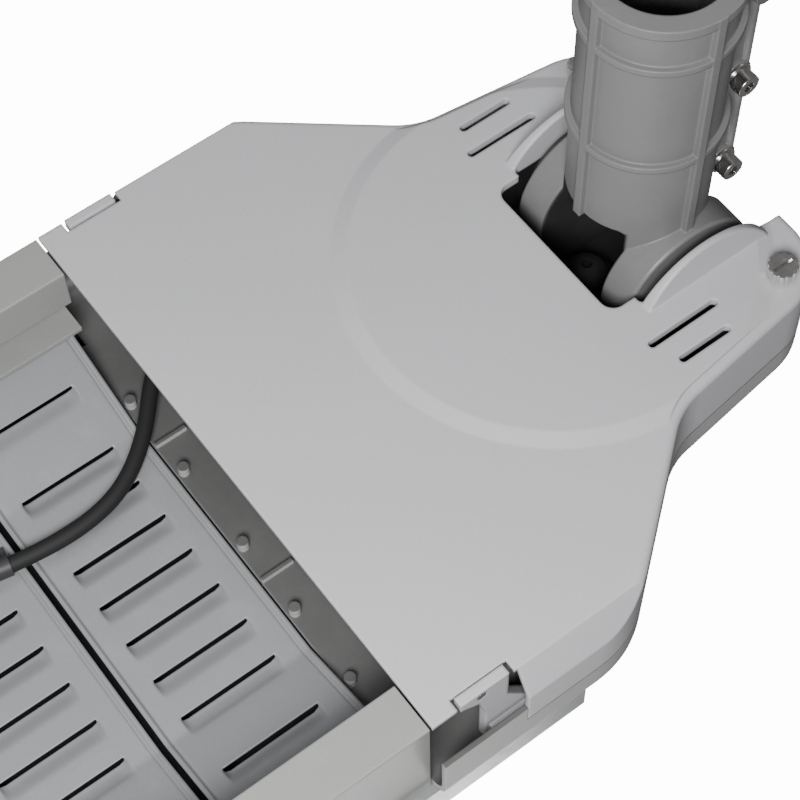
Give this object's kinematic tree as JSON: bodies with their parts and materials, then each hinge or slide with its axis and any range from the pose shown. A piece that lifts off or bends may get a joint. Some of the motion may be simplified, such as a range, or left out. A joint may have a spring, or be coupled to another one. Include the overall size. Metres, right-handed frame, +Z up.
{
  "type": "solar street lamp",
  "caption": "All-in-one solar street lamp: panel over a light head, louvred bay and battery compartment with swing-down cover, on a tilting ribbed pole sleeve.",
  "frame": {"origin": "centre of the pole sleeve's open mouth, on the pole axis", "axes": "+Z up the pole axis, +X towards the light head, +Y across the lamp"},
  "size_m": [0.862, 0.364, 0.288],
  "materials": {
    "cover_grey": "aluminium with fine-textured light grey powder coat",
    "cast_grey": "die-cast aluminium with light grey powder coat",
    "sleeve_grey": "cast aluminium with satin mid grey powder coat",
    "rail_grey": "aluminium extrusion with satin grey coat",
    "sheet_grey": "aluminium sheet with satin grey coat",
    "stainless": "bright stainless steel",
    "zinc_steel": "zinc plated steel",
    "frame_aluminium": "satin anodised aluminium",
    "heat_aluminium": "bare die-cast aluminium",
    "black_rubber": "matt black rubber",
    "black_plastic": "fine-textured black plastic",
    "friction_black": "dry friction lining",
    "solar_glass": "prismatic low-iron solar glass",
    "silicon_cells": "dark blue silicon with silver busbars",
    "back_sheet": "black polymer backsheet",
    "grey_sealant": "grey silicone sealant",
    "cell_sleeve": "heat-shrink cell sleeve",
    "circuit_green": "solder-masked circuit board",
    "white_board": "white solder-masked aluminium board",
    "led_phosphor": "yellow phosphor in white package",
    "clear_lens": "clear moulded polycarbonate",
    "milky_dome": "milky polyethylene lens",
    "green_lens": "green indicator lens"
  },
  "bodies": {
    "bracket": {"pole_sleeve": "sleeve_grey", "clamp_bolts": "stainless", "clamp_washers": "stainless", "clamp_nuts": "stainless"},
    "lamp": {"upper_housing": "cast_grey", "knuckle_bolt": "zinc_steel", "knuckle_nut": "zinc_steel", "knuckle_washers": "zinc_steel", "friction_discs": "friction_black", "knuckle_gland": "black_rubber", "hinge_bracket_left": "cover_grey", "hinge_bracket_right": "cover_grey", "hinge_bracket_screws": "stainless", "battery_case": "black_plastic", "battery_lid": "black_plastic", "battery_cells": "cell_sleeve", "battery_board": "circuit_green", "battery_straps": "zinc_steel", "controller_case": "cast_grey", "controller_lid": "heat_aluminium", "controller_board": "circuit_green", "battery_lead": "black_rubber", "controller_gland": "black_plastic", "head_gland": "black_plastic", "lamp_lead": "black_rubber", "lead_clips": "black_plastic", "side_rail_left": "rail_grey", "side_rail_right": "rail_grey", "rail_end_caps": "black_plastic", "louvre_sheet_rear": "sheet_grey", "louvre_sheet_middle": "sheet_grey", "louvre_sheet_front": "sheet_grey", "sheet_rivets": "stainless", "panel_frame_left": "frame_aluminium", "panel_frame_right": "frame_aluminium", "panel_frame_rear": "frame_aluminium", "panel_frame_front": "frame_aluminium", "panel_glass": "solar_glass", "panel_cells": "silicon_cells", "panel_backsheet": "back_sheet", "panel_bond": "grey_sealant", "junction_box": "black_plastic", "panel_feet": "black_rubber", "head_housing": "cast_grey", "head_underplate": "cover_grey", "head_screws": "stainless", "heat_sink": "heat_aluminium", "led_board": "white_board", "led_chips": "led_phosphor", "lens_plate": "clear_lens", "lens_gasket": "black_rubber", "sensor_base": "black_plastic", "sensor_dome": "milky_dome", "sensor_element": "zinc_steel", "button_bezel": "stainless", "indicator_lens": "green_lens"},
    "service_cover": {"service_cover": "cover_grey", "cover_hinge_pins": "stainless", "cover_screws": "stainless"},
    "power_button": {"power_button": "black_rubber"}
  },
  "joints": [
    {"name": "lamp_tilt", "type": "hinge", "parent": "bracket", "child": "lamp", "pos_m": [0, 0, 0.209], "axis": [0, 1, 0], "range_deg": [-90, 0]},
    {"name": "cover_swing", "type": "hinge", "parent": "lamp", "child": "service_cover", "pos_m": [0.235, 0, 0.191], "axis": [0, -1, 0], "range_deg": [0, 85]},
    {"name": "button_press", "type": "slide", "parent": "lamp", "child": "power_button", "axis": [0, 0, 1], "range_m": [0, 0.002], "stiffness_N_per_m": 400, "springref_m": -0.001}
  ]
}
